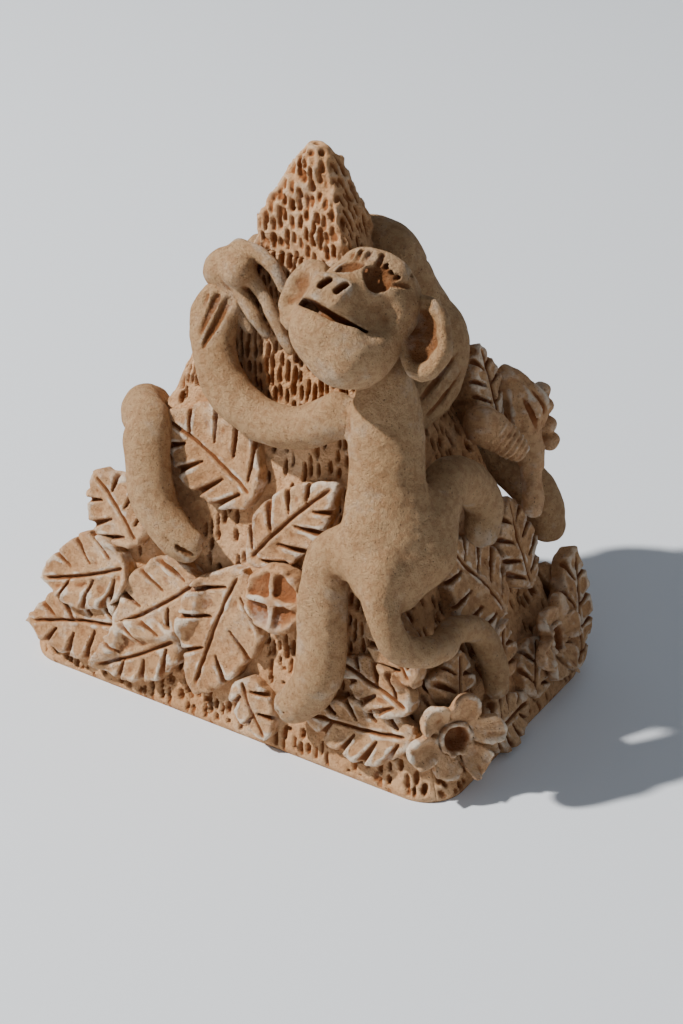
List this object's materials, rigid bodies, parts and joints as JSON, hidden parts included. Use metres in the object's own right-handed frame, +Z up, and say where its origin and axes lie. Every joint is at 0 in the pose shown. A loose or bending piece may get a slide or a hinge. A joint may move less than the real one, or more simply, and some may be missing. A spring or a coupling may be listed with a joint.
{
  "type": "clay tree of life",
  "caption": "Free-standing hollow pyramid of fired clay, hugged by two monkeys and covered with leaves, flowers, a fruit and a bud; a display piece.",
  "frame": {"origin": "on the ground under the middle of the whole piece", "axes": "+Z up to the tip, +Y from the broad front wall to the back wall, +X to the right along the front wall"},
  "size_m": [0.1761, 0.1186, 0.179],
  "materials": {
    "wall_clay": "unglazed, rough and pitted",
    "monkey_clay": "unglazed, rubbed smooth by hand",
    "leaf_clay": "unglazed, knife cut",
    "flower_clay": "unglazed, pinched"
  },
  "bodies": {
    "root": {"front_wall": "wall_clay", "right_wall": "wall_clay", "back_wall": "wall_clay", "left_wall": "wall_clay", "solid_tip": "wall_clay", "front_monkey_torso": "monkey_clay", "front_monkey_head": "monkey_clay", "front_monkey_left_ear": "monkey_clay", "front_monkey_right_ear": "monkey_clay", "front_monkey_left_arm": "monkey_clay", "front_monkey_right_arm": "monkey_clay", "front_monkey_left_leg": "monkey_clay", "front_monkey_right_leg": "monkey_clay", "front_monkey_tail": "monkey_clay", "back_monkey_torso": "monkey_clay", "back_monkey_head": "monkey_clay", "back_monkey_left_ear": "monkey_clay", "back_monkey_right_ear": "monkey_clay", "back_monkey_left_arm": "monkey_clay", "back_monkey_right_arm": "monkey_clay", "back_monkey_left_leg": "monkey_clay", "back_monkey_right_leg": "monkey_clay", "back_monkey_tail": "monkey_clay", "front_leaf_1": "leaf_clay", "front_leaf_2": "leaf_clay", "front_leaf_3": "leaf_clay", "front_leaf_4": "leaf_clay", "front_leaf_5": "leaf_clay", "front_leaf_6": "leaf_clay", "front_leaf_7": "leaf_clay", "front_leaf_8": "leaf_clay", "front_leaf_9": "leaf_clay", "front_leaf_10": "leaf_clay", "front_leaf_11": "leaf_clay", "front_leaf_12": "leaf_clay", "right_leaf_1": "leaf_clay", "right_leaf_2": "leaf_clay", "right_leaf_3": "leaf_clay", "right_leaf_4": "leaf_clay", "right_leaf_5": "leaf_clay", "right_leaf_6": "leaf_clay", "right_leaf_7": "leaf_clay", "right_leaf_8": "leaf_clay", "left_leaf_1": "leaf_clay", "left_leaf_2": "leaf_clay", "left_leaf_3": "leaf_clay", "back_leaf_1": "leaf_clay", "back_leaf_2": "leaf_clay", "back_leaf_3": "leaf_clay", "back_leaf_4": "leaf_clay", "back_leaf_5": "leaf_clay", "corner_flower_petals": "flower_clay", "corner_flower_cup": "flower_clay", "side_flower_petals": "flower_clay", "side_flower_cup": "flower_clay", "fruit": "flower_clay", "cone_bud": "flower_clay", "bell_bloom": "flower_clay", "bell_bloom_fringe": "flower_clay"}
  },
  "joints": []
}
